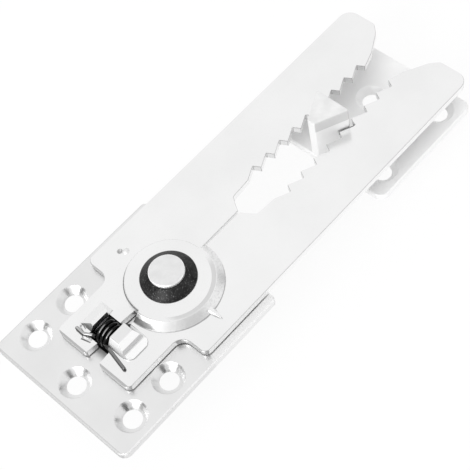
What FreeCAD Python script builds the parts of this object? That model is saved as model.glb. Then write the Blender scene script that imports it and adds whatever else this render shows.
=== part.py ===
import FreeCAD, Part
import math
import os

os.makedirs("parts", exist_ok=True)

# Millimetres. Origin on the pivot axis at the base underside, +X to the jaw tips, +Z up.

# sheet and fastening
SHEET = 2.5
SCREW_D = 6.4
SINK_D = 11.0
SCREW_PITCH_Y = 44.0
EDGE_BREAK = 0.4

# base plate
BASE_FRONT = -52.0
BASE_BACK = 17.5
BASE_WIDTH = 60.0
BASE_CORNER = 3.0
BASE_BACK_CORNER = 1.8
BASE_SCREW_X = -32.5
BASE_SCREW_PITCH_X = 16.4
BASE_CENTRE_SCREW_X = -44.0

# pivot stack
SHANK_R = 4.5
SHANK_FIT = 0.05
SPACER_R = 9.0
SPACER_T = 0.5
RUN_GAP = 0.05
JAW_Z = SHEET + SPACER_T
JAW_TOP = JAW_Z + SHEET
EYE_R = 12.1
EYE_Z = JAW_TOP + RUN_GAP
EYE_TOP = EYE_Z + SHEET
WASHER_OUT_R = 9.45
WASHER_TOP_R = 6.2
WASHER_RIM = 0.5
WASHER_H = 3.0
WASHER_SHEET = 1.2
HEAD_R = 5.95
HEAD_T = 1.2
HEAD_ROUND = 0.3
WASHER_Z = EYE_TOP + RUN_GAP
HEAD_Z = WASHER_Z + WASHER_H

# jaw outline, the left jaw, mirrored for the right one
JAW_OUT = 26.9
JAW_END = 120.9
JAW_END_CORNER = 4.5
TAIL_FRONT = -35.6
TAIL_OUT = 16.4
TAIL_OUT_CORNER = 2.2
TAIL_FRONT_IN = 3.0
TAIL_BACK_IN = 1.1
TAIL_IN_CORNER = 1.2
SHOULDER_X = -11.7
SHOULDER_CORNER = 2.2
SHOULDER_FILLET = 4.0
SLIT_HALF = 0.4
SLIT_END = 33.0
THROAT_STEP_X = 1.0
THROAT_STEP_Y = 1.8
THROAT_X = 3.1
THROAT_Y = 5.4
THROAT_ROUND = 1.2
MOUTH_NEAR_HALF = 5.9
MOUTH_FAR_HALF = 5.1
TOOTH_DEPTH = 2.7
TOOTH_PITCH = 6.69
TOOTH_COUNT = 10
TOOTH_STEEP = 1.4
FIRST_TIP = 43.9
TIP_ROUND = 0.3
FLARE_START_X = 6.0
FLARE_START_Y = 2.0
FLARE_BEND_X = 14.0
FLARE_BEND_Y = 6.6
FLARE_END_Y = 9.6
FLARE_ROUND = 5.0
MARK_X = -1.1
MARK_Y = 19.3
MARK_R = 1.2
MARK_RISE = 0.45
MARK_TOP_R = 0.5
PIT_R = 0.8
PIT_FLOOR_R = 0.3
PIT_DEPTH = 0.5
PIT_X = -2.4
PIT_Y = 20.9

# drawn eye of the right jaw
RIM_R = 14.6
DRAW_SHIFT_X = -0.5
DRAW_SHIFT_Y = -1.2
DRAW_TOP_R = 14.8
DRAW_FOOT_R = 17.5
DRAW_BEND = 1.3
DRAW_THIN = 0.8
PLEAT_X = 0.5
PLEAT_Y = -14.4
PLEAT_Z = 5.3
PLEAT_R = 2.2
PLEAT_LENGTH = 8.2
PLEAT_END_R = 0.3

# spring
COIL_X = -25.75
COIL_Z = 4.8
COIL_R = 3.9
COIL_END_Y = 4.8
SLEEVE_LENGTH = 6.0
WIRE_R = 0.6
ELBOW_X = 1.6
LEFT_ELBOW_Y = 8.2
LEFT_LEG_Y = 12.0
RIGHT_LEG_X = 2.1
RIGHT_LEG_Y = -11.2

# seats of the spring, a notch in the left tail and a raised fold on each tail
NOTCH_GAP = 0.35
NOTCH_DEPTH = 7.2
NOTCH_CORNER = 0.5
WINDOW_Y = 15.0
WINDOW_CORNER = 1.5
FOLD_SHEET = 1.2
HOOD_FRONT = -29.2
HOOD_BACK = -19.1
HOOD_OPEN_Y = -0.9
HOOD_RISE = 3.6
HOOD_SLANT = 1.9
HOOD_TOP_Y = -4.7
HOOD_BROW_Y = -6.9
HOOD_BROW_RISE = 2.2
HOOD_CREASE_Y = -7.4
HOOD_CREASE_RISE = 1.1
HOOD_LOBE_Y = -8.3
HOOD_LOBE_RISE = 1.5
HOOD_END_Y = -10.8
HOOD_CORNER = 3.6
FOLD_BEND = 0.6
SWELL_FRONT = -29.0
SWELL_BACK = -19.2
SWELL_RISE = 1.8
SWELL_SLANT = 1.6
SWELL_TOP_Y = 8.4
SWELL_END_Y = 12.2
DENT_R = 0.8
DENT_LIFT = 0.3
DENTS = [(-29.2, 11.4, -29.8, 9.3), (-32.2, 8.0, -31.3, 4.6)]

# bracket and wedge pin
BRACKET_NEAR = 69.9
BRACKET_FAR = 118.9
BRACKET_WIDTH = 59.4
BRACKET_CORNER = 3.2
BRACKET_TOP = -4.6
BRACKET_SCREW_X = 94.8
BRACKET_SCREW_PITCH_X = 30.6
BRACKET_CENTRE_SCREW_X = 100.5
PIN_NOSE = 70.3
PIN_BACK = 81.9
PIN_NOSE_W = 3.0
PIN_BACK_W = 14.4
PIN_TOP = 14.0
PIN_CORNER = 0.6
PIN_EDGE = 0.25
TENON_R = 3.5
TENON_INSET = 4.0


def vec(x, y, z=0.0):
    return FreeCAD.Vector(x, y, z)


def rounded_face(points, z):
    """Flat face at height z through (x, y, corner radius) points."""
    count = len(points)
    edges = []
    ends = []
    for i in range(count):
        here = vec(points[i][0], points[i][1], z)
        back = vec(points[i - 1][0], points[i - 1][1], z) - here
        ahead = vec(points[(i + 1) % count][0], points[(i + 1) % count][1], z) - here
        back.normalize()
        ahead.normalize()
        radius = points[i][2]
        half = back.getAngle(ahead) / 2
        reach = radius / math.tan(half)
        middle = back + ahead
        middle.normalize()
        start = here + back * reach
        end = here + ahead * reach
        bulge = here + middle * (radius / math.sin(half) - radius)
        ends.append((start, bulge, end, radius))
    for i in range(count):
        start, bulge, end, radius = ends[i]
        if radius > 0:
            edges.append(Part.Arc(start, bulge, end).toShape())
        following = ends[(i + 1) % count][0]
        if end.distanceToPoint(following) > 1e-6:
            edges.append(Part.makeLine(end, following))
    return Part.Face(Part.Wire(edges))


def slab(points, z, height):
    return rounded_face(points, z).extrude(vec(0, 0, height))


def rectangle(x0, x1, y0, y1, radius):
    return [(x0, y0, radius), (x1, y0, radius), (x1, y1, radius), (x0, y1, radius)]


def cylinder(radius, z0, z1, x=0.0, y=0.0):
    return Part.makeCylinder(radius, z1 - z0, vec(x, y, z0))


def lathe(profile):
    """Solid turned about the pivot axis, from (radius, height) points."""
    points = [vec(r, 0, z) for r, z in profile]
    face = Part.Face(Part.makePolygon(points + points[:1]))
    return face.revolve(vec(0, 0, 0), vec(0, 0, 1), 360)


def section(points):
    """Upright face in the XZ plane through (x, z, corner radius) points."""
    face = rounded_face(points, 0)
    face.rotate(vec(0, 0), vec(1, 0), 90)
    return face


def prism_along_y(points, start, end):
    face = section(points)
    face.translate(vec(0, start))
    return face.extrude(vec(0, end - start))


def prism_along_x(points, start, end):
    """Solid along X whose section is given as (y, z, corner radius) points."""
    face = section(points)
    face.rotate(vec(0, 0), vec(0, 0, 1), 90)
    face.translate(vec(start, 0))
    return face.extrude(vec(end - start, 0))


def wire(points, radius):
    """Round rod through the points, with a ball at each bend."""
    rods = []
    for i in range(1, len(points)):
        start = vec(*points[i - 1])
        run = vec(*points[i]) - start
        rods.append(Part.makeCylinder(radius, run.Length, start, run))
        if i > 1:
            rods.append(Part.makeSphere(radius, start))
    return rods[0].fuse(rods[1:]) if len(rods) > 1 else rods[0]


def edges_at(solid, z):
    """Edges that lie wholly at height z."""
    found = []
    for edge in solid.Edges:
        box = edge.BoundBox
        if abs(box.ZMin - z) < 1e-4 and abs(box.ZMax - z) < 1e-4:
            found.append(edge)
    return found


def screw_hole(x, y, top):
    """Countersunk hole through a sheet whose upper face is at the given height."""
    bore_r = SCREW_D / 2
    sink_r = SINK_D / 2
    depth = sink_r - bore_r
    bore = cylinder(bore_r, top - SHEET - 1, top + 1, x, y)
    sink = Part.makeCone(bore_r, sink_r + 1, depth + 1, vec(x, y, top - depth))
    return bore.fuse(sink)


def screw_holes(centre_x, pitch_x, lone_x, top):
    """Four holes in a rectangle and a fifth on the centre line."""
    cut = screw_hole(lone_x, 0, top)
    for side_x in (-0.5, 0.5):
        for side_y in (-0.5, 0.5):
            x = centre_x + side_x * pitch_x
            cut = cut.fuse(screw_hole(x, side_y * SCREW_PITCH_Y, top))
    return cut


def make_base():
    half = BASE_WIDTH / 2
    points = [(BASE_FRONT, -half, BASE_CORNER), (BASE_BACK, -half, BASE_BACK_CORNER)]
    points += [(BASE_BACK, half, BASE_BACK_CORNER), (BASE_FRONT, half, BASE_CORNER)]
    plate = slab(points, 0, SHEET)
    plate = plate.makeChamfer(EDGE_BREAK, edges_at(plate, SHEET))
    cut = screw_holes(BASE_SCREW_X, BASE_SCREW_PITCH_X, BASE_CENTRE_SCREW_X, SHEET)
    room = COIL_R + WIRE_R + NOTCH_GAP
    sides = rectangle(COIL_X - room, COIL_X + room, -WINDOW_Y / 2, WINDOW_Y / 2, WINDOW_CORNER)
    cut = cut.fuse(slab(sides, -1, SHEET + 2))
    cut = cut.fuse(cylinder(SHANK_R, -1, SHEET + 1))
    return plate.cut(cut)


def make_rivet():
    """Shank, flush with the base underside, and a broad flat head."""
    head_edge = HEAD_R - HEAD_ROUND
    head_top = HEAD_Z + HEAD_T
    return lathe([
        (0, 0), (SHANK_R, 0), (SHANK_R, HEAD_Z),
        (HEAD_R, HEAD_Z), (HEAD_R, head_top - HEAD_ROUND), (head_edge, head_top), (0, head_top)])


def make_spacer():
    ring = cylinder(SPACER_R, SHEET, JAW_Z - RUN_GAP)
    return ring.cut(cylinder(SHANK_R, SHEET - 1, JAW_Z + 1))


def make_washer():
    """Dished ring, hollow below, with a short upright rim."""
    rise = WASHER_H - WASHER_RIM
    run = WASHER_OUT_R - WASHER_TOP_R
    slant = math.hypot(rise, run)
    across = WASHER_SHEET * slant / rise
    bore = SHANK_R
    top = WASHER_Z + WASHER_H
    floor_r = WASHER_OUT_R - across + WASHER_RIM * run / rise
    ceiling = top - WASHER_SHEET
    ceiling_r = floor_r - (ceiling - WASHER_Z) * run / rise
    ring = lathe([
        (WASHER_OUT_R, WASHER_Z), (WASHER_OUT_R, WASHER_Z + WASHER_RIM), (WASHER_TOP_R, top),
        (bore, top), (bore, ceiling), (ceiling_r, ceiling), (floor_r, WASHER_Z)])
    return ring


def mouth_points():
    """Inner edge of the left jaw from the slit to the flared end."""
    points = [(SLIT_END, SLIT_HALF, SLIT_HALF)]
    points.append((SLIT_END + THROAT_STEP_X, SLIT_HALF + THROAT_STEP_Y, THROAT_ROUND / 2))
    points.append((SLIT_END + THROAT_X, THROAT_Y, THROAT_ROUND))
    for k in range(TOOTH_COUNT):
        tip = FIRST_TIP + k * TOOTH_PITCH
        edge = MOUTH_NEAR_HALF + (MOUTH_FAR_HALF - MOUTH_NEAR_HALF) * k / (TOOTH_COUNT - 1)
        if k > 0:
            points.append((tip - TOOTH_STEEP, edge + TOOTH_DEPTH, TIP_ROUND))
        points.append((tip, edge, TIP_ROUND))
    points.append((tip + FLARE_START_X, MOUTH_FAR_HALF + FLARE_START_Y, FLARE_ROUND))
    points.append((tip + FLARE_BEND_X, MOUTH_FAR_HALF + FLARE_BEND_Y, FLARE_ROUND))
    points.append((JAW_END, MOUTH_FAR_HALF + FLARE_END_Y, FLARE_ROUND / 2))
    return points


def jaw_sheet():
    """Flat blank of the left jaw without its eye."""
    points = mouth_points()
    points += [(JAW_END, JAW_OUT, JAW_END_CORNER), (SHOULDER_X, JAW_OUT, SHOULDER_CORNER)]
    points += [(SHOULDER_X, TAIL_OUT, SHOULDER_FILLET), (TAIL_FRONT, TAIL_OUT, TAIL_OUT_CORNER)]
    points += [(TAIL_FRONT, TAIL_FRONT_IN, TAIL_IN_CORNER), (1 - EYE_R, TAIL_BACK_IN, 0)]
    points += [(1 - EYE_R, SLIT_HALF, 0)]
    return slab(points, JAW_Z, SHEET)


def fold(front, back, slant, rise, profile, inset):
    """Raised fold on a tail: a tapered section along Y under a (y, rise, radius) outline."""
    foot = JAW_TOP - SHEET / 2
    taper = slant * (JAW_TOP - foot) / rise
    across = [(front - taper + inset, foot, 0), (back + taper - inset, foot, 0)]
    across += [(back - slant - inset, JAW_TOP + rise - inset, FOLD_BEND)]
    across += [(front + slant + inset, JAW_TOP + rise - inset, FOLD_BEND)]
    outline = [(y, JAW_TOP + up - inset, bend) for y, up, bend in profile]
    outline += [(profile[-1][0], foot, 0), (profile[0][0], foot, 0)]
    ridge = prism_along_y(across, -BASE_WIDTH, BASE_WIDTH)
    return ridge.common(prism_along_x(outline, front - slant, back + slant))


def swell(inset, open_y):
    """Fold of the left tail, open to the notch."""
    profile = [(open_y, SWELL_RISE, 0), (SWELL_TOP_Y, SWELL_RISE, FOLD_BEND)]
    profile += [(SWELL_END_Y - inset, 0, 0)]
    return fold(SWELL_FRONT, SWELL_BACK, SWELL_SLANT, SWELL_RISE, profile, inset)


def make_left_jaw():
    jaw = jaw_sheet().fuse(cylinder(EYE_R, JAW_Z, JAW_TOP)).removeSplitter()
    room = COIL_R + WIRE_R + NOTCH_GAP
    hollow = swell(DRAW_THIN, NOTCH_DEPTH - 1)
    hollow.translate(vec(0, 0, DRAW_THIN - SHEET))
    jaw = jaw.fuse(swell(0, NOTCH_DEPTH)).cut(hollow)
    notch = rectangle(COIL_X - room, COIL_X + room, -1, NOTCH_DEPTH, NOTCH_CORNER)
    jaw = jaw.cut(slab(notch, JAW_Z - 1, 2 * SHEET + 2))
    for x0, y0, x1, y1 in DENTS:
        jaw = jaw.cut(wire([(x0, y0, JAW_TOP + DENT_LIFT), (x1, y1, JAW_TOP + DENT_LIFT)], DENT_R))
    mark = Part.makeCone(MARK_R, MARK_TOP_R, MARK_RISE, vec(MARK_X, MARK_Y, JAW_TOP))
    pit = Part.makeCone(PIT_FLOOR_R, PIT_R, PIT_DEPTH, vec(PIT_X, PIT_Y, JAW_TOP - PIT_DEPTH))
    jaw = jaw.fuse(mark).cut(pit)
    return jaw.cut(cylinder(SHANK_R + SHANK_FIT, JAW_Z - 1, JAW_TOP + 1))


def s_bend(inner, top_z, foot_z, outer, bend):
    """One skin of the drawn sheet in section: top, slope and foot, with rounded bends."""
    foot = inner + DRAW_FOOT_R - DRAW_TOP_R
    return [(0, top_z, 0), (inner, top_z, bend), (foot, foot_z, bend / 2), (outer, foot_z, 0)]


def drawn_eye():
    """Eye lifted by one sheet over the left jaw, with its drawn wall, full circle."""
    outer = DRAW_FOOT_R + DRAW_BEND
    thin = SHEET - DRAW_THIN
    upper = s_bend(DRAW_TOP_R, EYE_TOP, JAW_TOP, outer, DRAW_BEND)
    lower = s_bend(DRAW_TOP_R - thin, EYE_Z, JAW_Z, outer, 0)
    eye = section(upper + lower[::-1]).revolve(vec(0, 0), vec(0, 0, 1), 360)
    eye.translate(vec(DRAW_SHIFT_X, DRAW_SHIFT_Y))
    return eye


def pleat():
    """Corner fold that runs out from the drawn wall."""
    start = vec(PLEAT_X, PLEAT_Y, PLEAT_Z)
    return Part.makeCone(PLEAT_R, PLEAT_END_R, PLEAT_LENGTH, start, vec(0, -1, 0))


def right_side():
    """Space on the right jaw's own side of the slit and of the gap between the tails."""
    deep = BASE_WIDTH
    tail = Part.makeBox(deep, deep, deep, vec(-deep, -deep - TAIL_BACK_IN, -deep / 2))
    front = Part.makeBox(3 * deep, deep, deep, vec(0, -deep - SLIT_HALF, -deep / 2))
    return tail.fuse(front)


def hood(inset, open_y):
    """Fold of the right tail, open to the coil, with a brow, a crease and a low lobe behind."""
    profile = [(open_y, HOOD_RISE, 0), (HOOD_TOP_Y, HOOD_RISE, FOLD_BEND)]
    profile += [(HOOD_BROW_Y, HOOD_BROW_RISE, 0), (HOOD_CREASE_Y, HOOD_CREASE_RISE, 0)]
    profile += [(HOOD_LOBE_Y, HOOD_LOBE_RISE, FOLD_BEND)]
    profile += [(HOOD_END_Y + inset, 0, 0)]
    solid = fold(HOOD_FRONT, HOOD_BACK, HOOD_SLANT, HOOD_RISE, profile, inset)
    return solid.common(slab(hood_outline(inset, open_y), JAW_Z, BASE_WIDTH))


def hood_outline(inset, open_y):
    corner = HOOD_CORNER - inset
    front = HOOD_FRONT + inset
    back = HOOD_BACK - inset
    end = HOOD_END_Y + inset
    return [(front, end, corner), (back, end, corner), (back, open_y, 0), (front, open_y, 0)]


def make_right_jaw():
    flat = jaw_sheet().mirror(vec(0, 0), vec(0, 1))
    hole = cylinder(DRAW_FOOT_R + DRAW_BEND, JAW_Z - 1, JAW_TOP + 1, DRAW_SHIFT_X, DRAW_SHIFT_Y)
    side = right_side()
    rim = cylinder(RIM_R, EYE_Z, EYE_TOP, DRAW_SHIFT_X)
    rim = rim.makeChamfer(EDGE_BREAK, edges_at(rim, EYE_TOP))
    jaw = flat.cut(hole).fuse([drawn_eye().common(side), rim.cut(side)])
    jaw = jaw.fuse([pleat(), slab(hood_outline(0, HOOD_OPEN_Y), JAW_Z, SHEET), hood(0, HOOD_OPEN_Y)])
    jaw = jaw.cut(hood(FOLD_SHEET, HOOD_OPEN_Y + 1))
    jaw = jaw.cut(slab(hood_outline(FOLD_SHEET, HOOD_OPEN_Y + 1), JAW_Z - 1, SHEET))
    return jaw.cut(cylinder(SHANK_R + SHANK_FIT, JAW_Z - 1, EYE_TOP + 1)).removeSplitter()


def make_spring():
    """Coil as a sleeve along Y, with a leg that lies on each tail."""
    far = COIL_END_Y + WIRE_R
    coil = Part.makeCylinder(COIL_R + WIRE_R, SLEEVE_LENGTH, vec(COIL_X, far, COIL_Z), vec(0, -1, 0))
    hollow = Part.makeCylinder(COIL_R - WIRE_R, 2 * SLEEVE_LENGTH, vec(COIL_X, far + 1, COIL_Z), vec(0, -1, 0))
    z = JAW_TOP + WIRE_R
    x = COIL_X - math.sqrt(COIL_R ** 2 - (z - COIL_Z) ** 2)
    near = far - SLEEVE_LENGTH + 2 * WIRE_R
    left = wire([(x, COIL_END_Y, z), (x - ELBOW_X, LEFT_ELBOW_Y, z), (x - ELBOW_X, LEFT_LEG_Y, z)], WIRE_R)
    right = wire([(x, near, z), (x - RIGHT_LEG_X, RIGHT_LEG_Y, z)], WIRE_R)
    return coil.cut(hollow).fuse(left).fuse(right)


def make_bracket():
    half = BRACKET_WIDTH / 2
    low = BRACKET_TOP - SHEET
    plate = slab(rectangle(BRACKET_NEAR, BRACKET_FAR, -half, half, BRACKET_CORNER), low, SHEET)
    plate = plate.makeChamfer(EDGE_BREAK, edges_at(plate, BRACKET_TOP))
    cut = screw_holes(BRACKET_SCREW_X, BRACKET_SCREW_PITCH_X, BRACKET_CENTRE_SCREW_X, BRACKET_TOP)
    cut = cut.fuse(tenon())
    return plate.cut(cut)


def tenon():
    """Round stub of the pin that is riveted through the bracket."""
    x = PIN_BACK - TENON_INSET
    return cylinder(TENON_R, BRACKET_TOP - SHEET, BRACKET_TOP, x)


def make_pin():
    """Upright wedge, blunt nose to the pivot, flat back to the jaw tips."""
    nose = PIN_NOSE_W / 2
    back = PIN_BACK_W / 2
    points = [(PIN_NOSE, -nose, PIN_CORNER), (PIN_BACK, -back, PIN_CORNER)]
    points += [(PIN_BACK, back, PIN_CORNER), (PIN_NOSE, nose, PIN_CORNER)]
    wedge = slab(points, BRACKET_TOP, PIN_TOP - BRACKET_TOP)
    wedge = wedge.makeChamfer(PIN_EDGE, edges_at(wedge, PIN_TOP))
    return wedge.fuse(tenon())


def export(name, shape):
    shape.exportStep("parts/" + name + ".step")


export("base_plate", make_base())
export("pivot_rivet", make_rivet())
export("spacer_washer", make_spacer())
export("dished_washer", make_washer())
export("left_jaw", make_left_jaw())
export("right_jaw", make_right_jaw())
export("closing_spring", make_spring())
export("pin_bracket", make_bracket())
export("wedge_pin", make_pin())
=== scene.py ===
import bpy
import bmesh
import math
from mathutils import Matrix, Vector


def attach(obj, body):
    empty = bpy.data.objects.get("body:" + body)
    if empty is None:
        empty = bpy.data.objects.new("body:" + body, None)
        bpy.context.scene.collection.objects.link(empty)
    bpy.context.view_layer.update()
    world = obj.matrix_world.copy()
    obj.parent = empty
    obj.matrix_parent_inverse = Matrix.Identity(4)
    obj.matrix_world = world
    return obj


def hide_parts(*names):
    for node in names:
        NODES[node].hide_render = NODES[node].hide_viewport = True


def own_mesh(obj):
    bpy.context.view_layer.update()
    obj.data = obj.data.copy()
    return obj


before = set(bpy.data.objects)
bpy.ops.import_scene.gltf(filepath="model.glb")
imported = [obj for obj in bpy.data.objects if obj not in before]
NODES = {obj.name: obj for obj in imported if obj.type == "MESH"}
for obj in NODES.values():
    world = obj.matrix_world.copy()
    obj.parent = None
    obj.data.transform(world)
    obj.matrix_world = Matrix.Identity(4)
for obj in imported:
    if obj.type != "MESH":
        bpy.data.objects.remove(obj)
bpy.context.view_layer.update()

MM = 0.001

# camera in the part's frame, metres
CAM_PLACE = (-0.099388, -0.185724, 0.351119)
CAM_LOOK = (0.305091, 0.441103, -0.844007)
CAM_ROLL_DEG = -15.0519
CAM_LENS_MM = 96.596
CAM_SENSOR_MM = 36.0
CAM_CLIP = 0.01

# stage, metres; the floor lies below the bracket at the slide's lower limit
FLOOR_HALF = 1.2
FLOOR_Z = -0.0198
FLOOR_GLOW = 0.9
WORLD_LIGHT = 0.9
KEY_PLACE = (-0.7, -0.1, 0.5)
KEY_TARGET = (0.03, 0, 0)
KEY_SIZE = 0.4
KEY_POWER = 3.0
GLOSSY_BOUNCES = 12

# dark panels that only mirror-like rays see: start and end azimuth from +X, low and high edge, degrees
PANELS = [(140, 172, 8, 25), (212, 228, 5, 22), (238, 266, 8, 38), (330, 352, 4, 16)]
PANEL_FAR = 0.55
PANEL_LIFT = 0.005

# dark card under the window of the base, painted shade there, millimetres
SHADE_X = (-30.7, -20.8)
SHADE_HALF_Y = 7.6
SHADE_Z = -0.1
SHADE_TONE = 0.03

# part, millimetres: top of the flat jaws, axis of the drawn wall and its two radii
JAW_TOP = 5.5
WALL_CENTRE = (-0.5, -1.2)
WALL_NEAR, WALL_FAR = 13.4, 18.9

# directions that faces turn towards
TOP, UNDER = (0, 0, 1), (0, 0, -1)
NEAR, FAR, FRONT = (0, -1, 0), (0, 1, 0), (-1, 0, 0)


# ---------------------------------------------------------------- materials
def add_node(tree, kind, values=None, **settings):
    """Shader node with its settings and the values of its sockets."""
    made = tree.nodes.new("ShaderNode" + kind)
    for setting, value in settings.items():
        setattr(made, setting, value)
    for socket, value in (values or {}).items():
        made.inputs[socket].default_value = value
    return made


def new_material(name, base, metallic, rough):
    mat = bpy.data.materials.new(name)
    mat.use_nodes = True
    shader = mat.node_tree.nodes["Principled BSDF"]
    shader.inputs["Base Color"].default_value = (*base, 1)
    shader.inputs["Metallic"].default_value = metallic
    shader.inputs["Roughness"].default_value = rough
    return mat, mat.node_tree, shader


def dull_material(name, tone):
    """A matt surface without any highlight."""
    mat, _, shader = new_material(name, (tone, tone, tone), 0.0, 1.0)
    shader.inputs["Specular IOR Level"].default_value = 0.0
    return mat


class Metal:
    """Metal with soft clouds in tone and roughness and a fine bump, and the tints laid on it.

    A mask is an output that goes from 0 to 1. Places are millimetres in the part's frame.
    """

    CLOUD_LOW, CLOUD_HIGH = 0.32, 0.68
    CLOUD_DETAIL, BUMP_DETAIL = 5.0, 3.0
    BUMP_DEPTH = 0.0002
    BEVEL_SAMPLES = 6

    def __init__(self, name, tone, spread, scale, rough, bump, bump_scale=400.0, metallic=1.0):
        self.mat, self.tree, self.shader = new_material(name, (tone, tone, tone), metallic, rough[0])
        self.link = self.tree.links.new
        self.place = self.add("TexCoord").outputs["Object"]
        clouds = self.add("TexNoise", {"Scale": scale, "Detail": self.CLOUD_DETAIL})
        self.link(self.place, clouds.inputs["Vector"])
        ramp = self.add("ValToRGB")
        low, high = ramp.color_ramp.elements
        low.position, high.position = self.CLOUD_LOW, self.CLOUD_HIGH
        low.color = (*[max(0.0, tone - spread)] * 3, 1)
        high.color = (*[min(1.0, tone + spread)] * 3, 1)
        self.link(clouds.outputs["Fac"], ramp.inputs["Fac"])
        self.link(ramp.outputs["Color"], self.shader.inputs["Base Color"])
        polish = self.add("MapRange", {"To Min": rough[0], "To Max": rough[1]})
        self.link(clouds.outputs["Fac"], polish.inputs["Value"])
        self.link(polish.outputs["Result"], self.shader.inputs["Roughness"])
        grain = self.add("TexNoise", {"Scale": bump_scale, "Detail": self.BUMP_DETAIL})
        self.link(self.place, grain.inputs["Vector"])
        self.relief = self.add("Bump", {"Strength": bump, "Distance": self.BUMP_DEPTH})
        self.link(grain.outputs["Fac"], self.relief.inputs["Height"])
        self.link(self.relief.outputs["Normal"], self.shader.inputs["Normal"])

    def add(self, kind, values=None, **settings):
        return add_node(self.tree, kind, values, **settings)

    def both(self, *masks):
        """Masks multiplied together."""
        held = masks[0]
        for other in masks[1:]:
            times = self.add("Math", operation="MULTIPLY")
            self.link(held, times.inputs[0])
            self.link(other, times.inputs[1])
            held = times.outputs[0]
        return held

    def turned(self, direction, none, full, edge=0.0):
        """Grows as the surface turns towards a direction, between two cosines, on edges of a width."""
        if edge > 0:
            facing = self.add("Bevel", {"Radius": edge * MM}, samples=self.BEVEL_SAMPLES)
        else:
            facing = self.add("NewGeometry")
        dot = self.add("VectorMath", {1: direction}, operation="DOT_PRODUCT")
        self.link(facing.outputs["Normal"], dot.inputs[0])
        span = self.add("MapRange", {"From Min": none, "From Max": full}, interpolation_type="SMOOTHSTEP")
        self.link(dot.outputs["Value"], span.inputs["Value"])
        return span.outputs["Result"]

    def slanted(self, direction, low, high, edge=0.0, soft=0.12):
        """1 where the cosine towards a direction lies between two values."""
        less = self.add("Math", operation="SUBTRACT", use_clamp=True)
        self.link(self.turned(direction, low, low + soft, edge), less.inputs[0])
        self.link(self.turned(direction, high, high + soft, edge), less.inputs[1])
        return less.outputs[0]

    def coordinate(self, axis):
        split = self.add("SeparateXYZ")
        self.link(self.place, split.inputs["Vector"])
        return split.outputs[axis]

    def above(self, axis, limit, test="GREATER_THAN"):
        """1 where a coordinate is more than a limit."""
        compared = self.add("Math", {1: limit * MM}, operation=test)
        self.link(self.coordinate(axis), compared.inputs[0])
        return compared.outputs[0]

    def below(self, axis, limit):
        """1 where a coordinate is less than a limit."""
        return self.above(axis, limit, "LESS_THAN")

    def within(self, axis, low, high):
        """1 where a coordinate lies between two values."""
        return self.both(self.above(axis, low), self.below(axis, high))

    def fading(self, axis, none, full):
        """Grows as a coordinate goes from one value to another."""
        span = self.add("MapRange", {"From Min": none * MM, "From Max": full * MM}, interpolation_type="SMOOTHSTEP")
        self.link(self.coordinate(axis), span.inputs["Value"])
        return span.outputs["Result"]

    def ring(self, centre, near, far):
        """1 between two radii about an upright axis."""
        away = (-centre[0] * MM, -centre[1] * MM, 0)
        flat = self.add("VectorMath", {1: (1, 1, 0), 2: away}, operation="MULTIPLY_ADD")
        self.link(self.place, flat.inputs[0])
        reach = self.add("VectorMath", operation="LENGTH")
        self.link(flat.outputs["Vector"], reach.inputs[0])
        middle, half = (near + far) / 2 * MM, (far - near) / 2 * MM
        compared = self.add("Math", {1: middle, 2: half}, operation="COMPARE")
        self.link(reach.outputs["Value"], compared.inputs[0])
        return compared.outputs[0]

    def disc(self, centre, radius):
        """1 inside a radius about an upright axis."""
        return self.ring(centre, -radius, radius)

    def grains(self, scale, none, full):
        """Irregular spots, as a fine noise goes from one value to another."""
        noise = self.add("TexNoise", {"Scale": scale})
        self.link(self.place, noise.inputs["Vector"])
        span = self.add("MapRange", {"From Min": none, "From Max": full})
        self.link(noise.outputs["Fac"], span.inputs["Value"])
        return span.outputs["Result"]

    def tint(self, mask, tone, rough):
        """Another tone and roughness where a mask is 1."""
        # socket of the shader, new value, kind of mix, and the mix's two inputs and output for that kind
        changes = (
            ("Base Color", (tone, tone, tone, 1), "RGBA", 6, 7, 2),
            ("Roughness", rough, "FLOAT", 2, 3, 0),
        )
        for socket, value, kind, first, second, out in changes:
            held = self.shader.inputs[socket].links[0].from_socket
            mix = self.add("Mix", {second: value}, data_type=kind)
            self.link(mask, mix.inputs[0])
            self.link(held, mix.inputs[first])
            self.link(mix.outputs[out], self.shader.inputs[socket])


def tint_jaw_faces(jaw):
    """Painted light and shade by the way that faces turn: lighter undersides and near walls, darker sheared front ends,
    which are also rougher, and darker slopes.
    """
    # painted light: undersides lighter, standing in for light bounced up from the base
    underside = jaw.turned(UNDER, 0.5, 0.9)
    jaw.tint(underside, tone=0.97, rough=0.35)
    # painted light: walls that face the near side lighter, standing in for the bright base they mirror
    lit_near_walls = jaw.turned(NEAR, 0.85, 0.95)
    jaw.tint(lit_near_walls, tone=0.99, rough=0.35)
    # painted shade on the sheared front ends of the tails, which are also rougher
    shaded_front_ends = jaw.both(jaw.turned(FRONT, 0.8, 0.95), jaw.below("X", 0))
    jaw.tint(shaded_front_ends, tone=0.66, rough=0.5)
    # painted shade on slopes that face the front
    shaded_front_slopes = jaw.slanted(FRONT, 0.25, 0.8)
    jaw.tint(shaded_front_slopes, tone=0.45, rough=0.4)
    # painted shade, slight, on slopes that face the far side
    shaded_far_slopes = jaw.slanted(FAR, 0.15, 0.5)
    jaw.tint(shaded_far_slopes, tone=0.85, rough=0.4)


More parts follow.
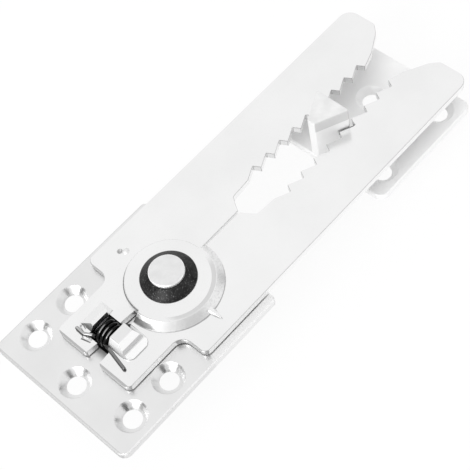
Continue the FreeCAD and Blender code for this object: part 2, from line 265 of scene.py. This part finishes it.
def tint_drawn_wall(jaw):
    """The wall round the eye, rougher and grainy where the sheet was stretched, with painted shade near the slit
    between the tails, on its near side and along its rim.
    """
    steep = jaw.turned(TOP, 0.93, 0.85)
    wall_ring = jaw.ring(WALL_CENTRE, WALL_NEAR, WALL_FAR)
    wall = jaw.both(wall_ring, steep, jaw.above("Z", JAW_TOP))
    jaw.tint(wall, tone=0.88, rough=0.36)
    depth = jaw.add("MapRange", {"To Min": 0.05, "To Max": 0.8})
    jaw.link(wall, depth.inputs["Value"])
    jaw.link(depth.outputs["Result"], jaw.relief.inputs["Strength"])
    spots = jaw.both(wall, jaw.grains(2200.0, 0.50, 0.62))
    jaw.tint(spots, tone=0.76, rough=0.5)
    # painted shade on the wall beside the slit
    slit_shade = jaw.both(wall, jaw.ring(WALL_CENTRE, 15.9, WALL_FAR), jaw.fading("X", -14.6, -16.2))
    jaw.tint(slit_shade, tone=0.25, rough=0.5)
    # painted shade on the near side of the wall, growing towards the near side and the tails
    near_side_shade = jaw.both(wall, jaw.fading("Y", -7.5, -10.5), jaw.fading("X", 4.0, -9.0))
    jaw.tint(near_side_shade, tone=0.64, rough=0.62)
    # painted shade along the near part of the upper rim
    upper_rim = jaw.both(jaw.ring(WALL_CENTRE, WALL_NEAR, 14.8), jaw.above("Z", JAW_TOP))
    rim_shade_line = jaw.both(upper_rim, jaw.fading("Y", -3.5, -9.0), jaw.fading("X", -12.0, -8.5))
    jaw.tint(rim_shade_line, tone=0.68, rough=0.5)
    # painted shade: a dark line on the rolled edge of the wall's left arc
    rolled = jaw.both(jaw.slanted(FRONT, 0.2, 0.8, edge=0.8), jaw.turned(TOP, 0.2, 0.4, edge=0.8))
    left_arc = jaw.both(wall_ring, jaw.above("Z", 5.7), jaw.above("Y", -0.8))
    jaw.tint(jaw.both(rolled, left_arc), tone=0.22, rough=0.4)


def tint_hood(jaw):
    """Painted light and shade on the spring hood of the right tail: a darker crest, a lighter brow, a darker crease and
    a lighter front.
    """
    hood = jaw.both(jaw.below("X", -19.0), jaw.below("Y", -0.5), jaw.above("Z", 5.6))
    # painted shade on the crest
    crest = jaw.both(hood, jaw.turned(TOP, 0.97, 0.99))
    jaw.tint(crest, tone=0.80, rough=0.35)
    # painted light on the brow
    brow = jaw.both(hood, jaw.slanted(NEAR, 0.3, 0.7))
    jaw.tint(brow, tone=0.97, rough=0.3)
    # painted shade in the crease
    crease = jaw.both(hood, jaw.turned(NEAR, 0.8, 0.85))
    jaw.tint(crease, tone=0.66, rough=0.4)
    # painted light on the front of the hood
    hood_front = jaw.both(hood, jaw.turned(FRONT, 0.4, 0.6))
    jaw.tint(hood_front, tone=0.97, rough=0.65)


def tint_jaw_edges(jaw):
    """Painted dark reflections along rolled top edges, and painted shade in the notch round the coil, where a tooth
    bites the pin and along the front ends of the tails.
    """
    flat = jaw.below("Z", 5.7)
    topside = jaw.turned(TOP, 0.2, 0.4, edge=0.5)
    # painted dark reflection along the rolled top edges that face the near side
    near_line = jaw.both(flat, topside, jaw.slanted(NEAR, 0.2, 0.8, edge=0.5))
    jaw.tint(near_line, tone=0.42, rough=0.4)
    # painted dark reflection along the rolled top edges that face the front
    front_line = jaw.both(flat, topside, jaw.slanted(FRONT, 0.2, 0.8, edge=0.5), jaw.above("X", -20))
    jaw.tint(front_line, tone=0.36, rough=0.4)
    # painted shade in the notch round the coil
    notch = jaw.both(jaw.within("X", -30.8, -20.7), jaw.within("Y", -0.5, 7.4), jaw.below("Z", 5.3))
    jaw.tint(notch, tone=0.08, rough=0.5)
    # painted shadow where the tooth meets the pin
    bite = jaw.both(jaw.within("X", 77.0, 83.2), jaw.within("Y", -8.2, -5.0), jaw.above("Z", 4.0))
    flank = jaw.turned((0.27, 0.96, 0), 0.1, 0.25, edge=0.8)
    jaw.tint(jaw.both(bite, flank), tone=0.0, rough=0.9)
    # painted shade along the front ends of the tails
    shaded_tail_ends = jaw.both(jaw.below("X", -34.9), jaw.turned(TOP, 0.2, 0.4))
    jaw.tint(shaded_tail_ends, tone=0.50, rough=0.5)


def tint_punch_mark(jaw):
    """A pit with painted shade in it, beside a small bump in a slightly darker tone, both rougher."""
    # painted shade in the pit
    pit = jaw.disc((-2.4, 20.9), 1.0)
    jaw.tint(pit, tone=0.55, rough=0.6)
    bump = jaw.disc((-1.1, 19.3), 1.2)
    jaw.tint(bump, tone=0.82, rough=0.6)


def tint_base(zinc):
    """Painted light where the jaws shade the base and along its near rim, painted dark reflection along its far rim,
    and painted shade on its front rim and in and before its window.
    """
    under_left_tail = (-35.2, -11.5), (3.2, 16.1)
    under_right_tail = (-35.2, -11.5), (-16.1, -3.2)
    under_eyes = (-11.4, 17.6), (-26.6, 26.6)
    # painted light: the base lightened under and round the jaws, against the shade they cast
    for span_x, span_y in (under_left_tail, under_right_tail, under_eyes):
        lit_under_jaws = zinc.both(zinc.within("X", *span_x), zinc.within("Y", *span_y))
        zinc.tint(lit_under_jaws, tone=0.97, rough=0.3)
    # painted light, a little less, on the strip beyond them on the near side
    lit_near_strip = zinc.both(zinc.within("X", -11.4, 20.0), zinc.within("Y", -32.0, -26.6))
    zinc.tint(lit_near_strip, tone=0.87, rough=0.3)
    topside = zinc.turned(TOP, 0.2, 0.4, edge=0.5)
    # painted dark reflection along the far rolled rim
    far_reflection_line = zinc.both(topside, zinc.slanted(FAR, 0.2, 0.8, edge=0.5), zinc.above("Y", 29.2))
    zinc.tint(far_reflection_line, tone=0.62, rough=0.4)
    # painted light along the near rolled rim
    near_line = zinc.both(topside, zinc.slanted(NEAR, 0.15, 0.8, edge=0.5), zinc.below("Y", -29.2))
    zinc.tint(near_line, tone=0.97, rough=0.6)
    # painted shade in the window and, fading, before it between the tails
    window = zinc.both(zinc.within("X", -31.0, -20.4), zinc.within("Y", -8.0, 8.0))
    zinc.tint(window, tone=0.15, rough=0.5)
    between_tails = zinc.both(zinc.fading("X", -34.2, -31.0), zinc.below("X", -20.0), zinc.within("Y", -4.5, 4.5))
    zinc.tint(between_tails, tone=0.35, rough=0.5)
    # painted shade along the front rim, which is also rougher
    front_rim_shade = zinc.below("X", -51.2)
    zinc.tint(front_rim_shade, tone=0.66, rough=0.6)


def tint_spring(wire, leg):
    """Painted highlights along the tops of the coil's wire and of the legs, the left leg's brighter than the right
    one's.
    """
    # painted highlight along the top of each turn
    coil_highlight = wire.turned((-0.2, -0.25, 0.95), 0.90, 0.99)
    wire.tint(coil_highlight, tone=0.34, rough=0.3)
    # painted highlights along the tops of the legs, brighter on the left leg
    leg_highlight = leg.turned(TOP, 0.6, 0.9)
    leg.tint(leg.both(leg_highlight, leg.above("Y", 5.5)), tone=0.50, rough=0.3)
    leg.tint(leg.both(leg_highlight, leg.below("Y", -2.0)), tone=0.22, rough=0.3)


def tint_pin(pin):
    """Painted light on the walls, and painted shade in a band along the top of the near one."""
    # painted light on the walls
    walls = pin.turned(TOP, 0.6, 0.3)
    pin.tint(walls, tone=0.95, rough=0.4)
    # painted shade along the top of the near wall
    shaded_top_band = pin.both(pin.turned(NEAR, 0.5, 0.7), pin.above("Z", 9.3))
    pin.tint(shaded_top_band, tone=0.70, rough=0.4)


ZINC = Metal("zinc_plate", tone=0.80, spread=0.02, scale=60.0, rough=(0.24, 0.34), bump=0.10)
BRACKET_METAL = Metal("bracket_zinc", tone=0.95, spread=0.02, scale=60.0, rough=(0.45, 0.55), bump=0.10, metallic=0.3)
JAW_METAL = Metal("polished_zinc", tone=0.875, spread=0.02, scale=45.0, rough=(0.16, 0.24), bump=0.05)
PIN_METAL = Metal(
    "pin_steel", tone=0.82, spread=0.05, scale=260.0, rough=(0.34, 0.5), bump=0.5, bump_scale=700.0, metallic=0.4,
)
BLACK = Metal(
    "black_steel", tone=0.030, spread=0.012, scale=500.0, rough=(0.30, 0.55), bump=0.35, bump_scale=1400.0,
)
# The coil and its legs are one black wire: the coil's tone is darkened further as painted shade in the notch, the legs'
# tone lightened as painted light where they lie on the tails.
WIRE = Metal(
    "spring_wire", tone=0.014, spread=0.006, scale=700.0, rough=(0.22, 0.34), bump=0.1, bump_scale=900.0,
)
LIT_LEG_WIRE = Metal(
    "spring_leg", tone=0.07, spread=0.02, scale=700.0, rough=(0.2, 0.3), bump=0.1, bump_scale=900.0,
)
RIVET_METAL = Metal(
    "rivet_steel", tone=0.79, spread=0.04, scale=300.0, rough=(0.3, 0.42), bump=0.35, bump_scale=600.0,
)

for tint_jaw in (tint_jaw_faces, tint_drawn_wall, tint_hood, tint_jaw_edges, tint_punch_mark):
    tint_jaw(JAW_METAL)
tint_base(ZINC)
tint_spring(WIRE, LIT_LEG_WIRE)
tint_pin(PIN_METAL)
SPECKS = BLACK.grains(2600.0, 0.60, 0.74)
BLACK.tint(SPECKS, tone=0.20, rough=0.5)
# painted highlight round the rim of the rivet head
RIVET_RIM_HIGHLIGHT = RIVET_METAL.turned(TOP, 0.9, 0.7)
RIVET_METAL.tint(RIVET_RIM_HIGHLIGHT, tone=0.97, rough=0.55)

METAL_OF = {
    "base_plate": ZINC, "pivot_rivet": RIVET_METAL, "spacer_washer": ZINC, "pin_bracket": BRACKET_METAL,
    "left_jaw": JAW_METAL, "right_jaw": JAW_METAL, "wedge_pin": PIN_METAL,
    "dished_washer": BLACK, "closing_spring": WIRE,
}

# widths of the rolled edges, millimetres
ROLLED_EDGE = {
    "base_plate": 0.35, "pin_bracket": 0.5, "left_jaw": 0.4, "right_jaw": 0.4, "wedge_pin": 0.3,
    "pivot_rivet": 0.2, "dished_washer": 0.15, "spacer_washer": 0.1,
}
WELD_REACH = 0.000002
ROLL_SEGMENTS = 3
ROLL_ANGLE_DEG = 35


def dress_nodes():
    for name, obj in NODES.items():
        for held in obj.material_slots:
            held.material = METAL_OF[name].mat
        if name in ROLLED_EDGE:
            roll_edges(obj, ROLLED_EDGE[name] * MM)


def roll_edges(obj, width):
    weld = obj.modifiers.new("weld", "WELD")
    weld.merge_threshold = WELD_REACH
    bevel = obj.modifiers.new("rolled", "BEVEL")
    bevel.width = width
    bevel.segments = ROLL_SEGMENTS
    bevel.limit_method = "ANGLE"
    bevel.angle_limit = math.radians(ROLL_ANGLE_DEG)
    bevel.harden_normals = True


# ---------------------------------------------------------------- spring, millimetres
COIL_X, COIL_Z, COIL_R, WIRE_R = -25.75, 4.8, 3.9, 0.6
COIL_FAR, COIL_NEAR, TURNS = 4.8, 0.0, 3
STEPS_PER_TURN = 56
WIRE_SIDES = 20
WIRE_END_ANGLES = (0.25, 0.6, 0.95, 1.3, 1.5)
ACROSS = Vector((0.31, 0.17, 0.93))
CORNER_CUTS = 3
CORNER_SHARE = 0.25
LEG_Z = JAW_TOP + WIRE_R
LEG_ANGLE = math.pi - math.asin((LEG_Z - COIL_Z) / COIL_R)
LEG_X = COIL_X + COIL_R * math.cos(LEG_ANGLE)
LEFT_LEG = [
    (LEG_X, COIL_FAR - 0.3), (LEG_X - 0.2, COIL_FAR + 0.8), (LEG_X - 1.7, 8.0), (LEG_X - 1.7, 9.2),
    (LEG_X - 1.6, 11.4),
]
RIGHT_LEG = [(LEG_X, COIL_NEAR + 0.3), (LEG_X - 0.1, COIL_NEAR - 0.8), (LEG_X - 2.1, -10.6)]


def leg_path(route):
    """Route of a leg at the legs' height, its corners cut and its two ends kept."""
    points = [Vector((x, y, LEG_Z)) for x, y in route]
    for _ in range(CORNER_CUTS):
        soft = [points[0]]
        for a, b in zip(points[:-1], points[1:]):
            soft.append(a.lerp(b, CORNER_SHARE))
            soft.append(a.lerp(b, 1 - CORNER_SHARE))
        points = soft + [points[-1]]
    return points


def coil_path():
    steps = STEPS_PER_TURN * TURNS
    points = []
    for i in range(steps + 1):
        share = i / steps
        angle = LEG_ANGLE + 2 * math.pi * TURNS * share
        y = COIL_FAR + (COIL_NEAR - COIL_FAR) * share
        points.append(Vector((COIL_X + COIL_R * math.cos(angle), y, COIL_Z + COIL_R * math.sin(angle))))
    return points


def wire_stations(path, round_end):
    """Centre, direction and radius along the wire, with a ball at its end where asked."""
    tangents = []
    for i in range(len(path)):
        tangents.append((path[min(i + 1, len(path) - 1)] - path[max(i - 1, 0)]).normalized())
    stations = [(place, tangent, WIRE_R) for place, tangent in zip(path, tangents)]
    if round_end:
        for a in WIRE_END_ANGLES:
            stations.append((path[-1] + tangents[-1] * WIRE_R * math.sin(a), tangents[-1], WIRE_R * math.cos(a)))
    return stations


def wire_object(name, path, metal, round_end=False):
    """Closed tube along a path."""
    stations = wire_stations(path, round_end)
    side = stations[0][1].cross(ACROSS).normalized()
    mesh = bmesh.new()
    loops = []
    for place, tangent, radius in stations:
        side = (side - tangent * side.dot(tangent)).normalized()
        up = tangent.cross(side)
        loop = []
        for k in range(WIRE_SIDES):
            a = 2 * math.pi * k / WIRE_SIDES
            loop.append(mesh.verts.new((place + (side * math.cos(a) + up * math.sin(a)) * radius) * MM))
        loops.append(loop)
    for low, high in zip(loops[:-1], loops[1:]):
        for k in range(WIRE_SIDES):
            following = (k + 1) % WIRE_SIDES
            face = mesh.faces.new((low[k], low[following], high[following], high[k]))
            face.smooth = True
    mesh.faces.new(loops[0][::-1])
    mesh.faces.new(loops[-1])
    data = bpy.data.meshes.new(name)
    mesh.to_mesh(data)
    mesh.free()
    data.materials.append(metal.mat)
    return linked(bpy.data.objects.new(name, data))


def linked(obj):
    bpy.context.collection.objects.link(obj)
    return obj


def make_spring():
    body = wire_object("spring_coil", coil_path(), WIRE)
    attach(body, "base")
    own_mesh(body)
    left = wire_object("spring_left_leg", leg_path(LEFT_LEG), LIT_LEG_WIRE, round_end=True)
    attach(left, "left_jaw")
    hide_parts("closing_spring")
    right = wire_object("spring_right_leg", leg_path(RIGHT_LEG), LIT_LEG_WIRE, round_end=True)
    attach(right, "right_jaw")
    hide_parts("closing_spring")
    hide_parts("closing_spring")


# ---------------------------------------------------------------- stage and light
def seen_rays(tree):
    """1 for rays that come from the camera, a mirror or a glass surface."""
    path = add_node(tree, "LightPath")
    held = path.outputs["Is Camera Ray"]
    for other in ("Is Glossy Ray", "Is Transmission Ray"):
        either = add_node(tree, "Math", operation="MAXIMUM")
        tree.links.new(held, either.inputs[0])
        tree.links.new(path.outputs[other], either.inputs[1])
        held = either.outputs[0]
    return held


def quad(name, corners, mat):
    mesh = bpy.data.meshes.new(name)
    mesh.from_pydata(corners, [], [(0, 1, 2, 3)])
    mesh.materials.append(mat)
    return linked(bpy.data.objects.new(name, mesh))


def rectangle(low_x, high_x, low_y, high_y, z):
    return [(low_x, low_y, z), (high_x, low_y, z), (high_x, high_y, z), (low_x, high_y, z)]


def make_floor():
    """White floor that keeps the shadow of the part and glows a little where it is seen."""
    mat, tree, shader = new_material("floor_white", (1.0, 1.0, 1.0), 0.0, 1.0)
    glow = add_node(tree, "Emission")
    share = add_node(tree, "Math", {1: FLOOR_GLOW}, operation="MULTIPLY")
    mix = add_node(tree, "MixShader")
    tree.links.new(seen_rays(tree), share.inputs[0])
    tree.links.new(share.outputs[0], mix.inputs["Fac"])
    tree.links.new(shader.outputs[0], mix.inputs[1])
    tree.links.new(glow.outputs[0], mix.inputs[2])
    tree.links.new(mix.outputs[0], tree.nodes["Material Output"].inputs["Surface"])
    floor = quad("floor", rectangle(-FLOOR_HALF, FLOOR_HALF, -FLOOR_HALF, FLOOR_HALF, 0), mat)
    floor.location = (0, 0, FLOOR_Z)


def make_window_shade():
    """Dark card under the window of the base, painted shade where the floor would show through it."""
    low_x, high_x = SHADE_X[0] * MM, SHADE_X[1] * MM
    side = SHADE_HALF_Y * MM
    card = quad("window_shade", rectangle(low_x, high_x, -side, side, SHADE_Z * MM), dull_material("shade", SHADE_TONE))
    card.visible_shadow = False


def make_world():
    """Plain light on the part, and pure white where the world is seen."""
    world = bpy.data.worlds.new("studio")
    bpy.context.scene.world = world
    world.use_nodes = True
    tree = world.node_tree
    back = tree.nodes["Background"]
    back.inputs["Color"].default_value = (1, 1, 1, 1)
    back.inputs["Strength"].default_value = 1.0
    light = add_node(tree, "Background", {"Color": (1, 1, 1, 1), "Strength": WORLD_LIGHT})
    mix = add_node(tree, "MixShader")
    tree.links.new(seen_rays(tree), mix.inputs["Fac"])
    tree.links.new(light.outputs[0], mix.inputs[1])
    tree.links.new(back.outputs[0], mix.inputs[2])
    tree.links.new(mix.outputs[0], tree.nodes["World Output"].inputs["Surface"])


def make_key_light():
    data = bpy.data.lights.new("key", "AREA")
    data.shape = "SQUARE"
    data.size = KEY_SIZE
    data.energy = KEY_POWER
    lamp = linked(bpy.data.objects.new("key", data))
    lamp.location = KEY_PLACE
    lamp.rotation_euler = (Vector(KEY_TARGET) - Vector(KEY_PLACE)).to_track_quat("-Z", "Y").to_euler()


def make_panels():
    mat = dull_material("dark_panel", 0.0)
    for i, (start, end, low, high) in enumerate(PANELS):
        corners = []
        for azimuth, height in ((start, low), (end, low), (end, high), (start, high)):
            a, h = math.radians(azimuth), math.radians(height)
            z = PANEL_FAR * math.tan(h) + PANEL_LIFT
            corners.append((PANEL_FAR * math.cos(a), PANEL_FAR * math.sin(a), z))
        panel = quad("panel_%d" % i, corners, mat)
        panel.visible_camera = False
        panel.visible_diffuse = False
        panel.visible_shadow = False


def make_camera():
    data = bpy.data.cameras.new("camera")
    data.lens = CAM_LENS_MM
    data.sensor_width = CAM_SENSOR_MM
    data.clip_start = CAM_CLIP
    cam = linked(bpy.data.objects.new("camera", data))
    level = Vector(CAM_LOOK).to_track_quat("-Z", "Y").to_matrix().to_4x4()
    roll = Matrix.Rotation(math.radians(CAM_ROLL_DEG), 4, "Z")
    cam.matrix_world = Matrix.Translation(CAM_PLACE) @ level @ roll
    bpy.context.scene.camera = cam


dress_nodes()
make_spring()
make_floor()
make_window_shade()
make_world()
make_panels()
make_key_light()
make_camera()
scene = bpy.context.scene
scene.view_settings.view_transform = "Standard"
scene.cycles.glossy_bounces = GLOSSY_BOUNCES
